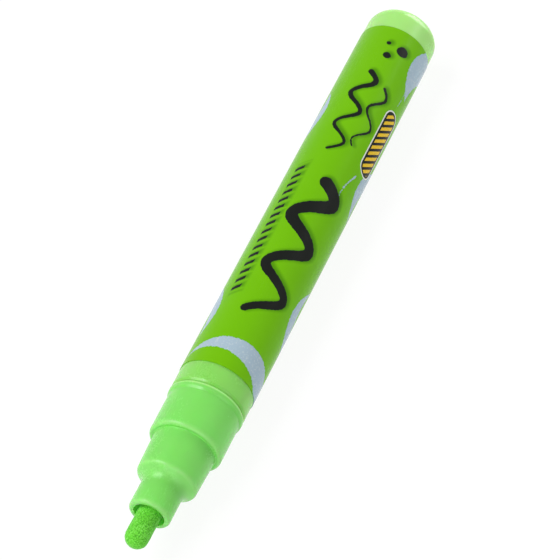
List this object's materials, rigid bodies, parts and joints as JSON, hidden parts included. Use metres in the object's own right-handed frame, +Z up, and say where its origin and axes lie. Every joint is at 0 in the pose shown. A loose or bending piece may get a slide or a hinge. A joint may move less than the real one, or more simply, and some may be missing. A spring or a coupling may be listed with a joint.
{
  "type": "liquid chalk marker",
  "caption": "Uncapped liquid chalk marker: round barrel with a printed film and a rounded rear end, stepped moulded nose, and a bullet nib that opens a spring valve when pressed.",
  "frame": {"origin": "on the surface that the marker lies on, under the middle of its length", "axes": "+X along the marker's axis towards its rear end, nib towards -X, +Z up"},
  "size_m": [0.1352, 0.015, 0.015],
  "materials": {
    "barrel_plastic": "semi-gloss moulded polypropylene, pale green",
    "label_film": "glossy printed film, yellow-green with grey-blue motifs",
    "nose_plastic": "semi-gloss moulded polypropylene, light green",
    "nib_fibre": "bonded fibre soaked with green ink",
    "packing_rubber": "black moulded rubber",
    "stem_plastic": "natural moulded plastic",
    "cage_plastic": "natural moulded plastic",
    "spring_steel": "drawn stainless wire",
    "ball_steel": "polished steel ball"
  },
  "bodies": {
    "barrel": {"barrel": "barrel_plastic", "label_sleeve": "label_film", "nose_section": "nose_plastic", "valve_packing": "packing_rubber", "valve_cage": "cage_plastic", "valve_spring": "spring_steel"},
    "nib": {"nib": "nib_fibre", "valve_stem": "stem_plastic"},
    "mixing_ball": {"mixing_ball": "ball_steel"}
  },
  "joints": [
    {"name": "nib_press", "type": "slide", "parent": "barrel", "child": "nib", "axis": [1, 0, 0], "range_m": [0, 0.0015], "stiffness_N_per_m": 400, "springref_m": -0.003, "deforming": ["valve_spring"]},
    {"name": "ball_run", "type": "slide", "parent": "barrel", "child": "mixing_ball", "axis": [1, 0, 0], "range_m": [0, 0.088]}
  ]
}
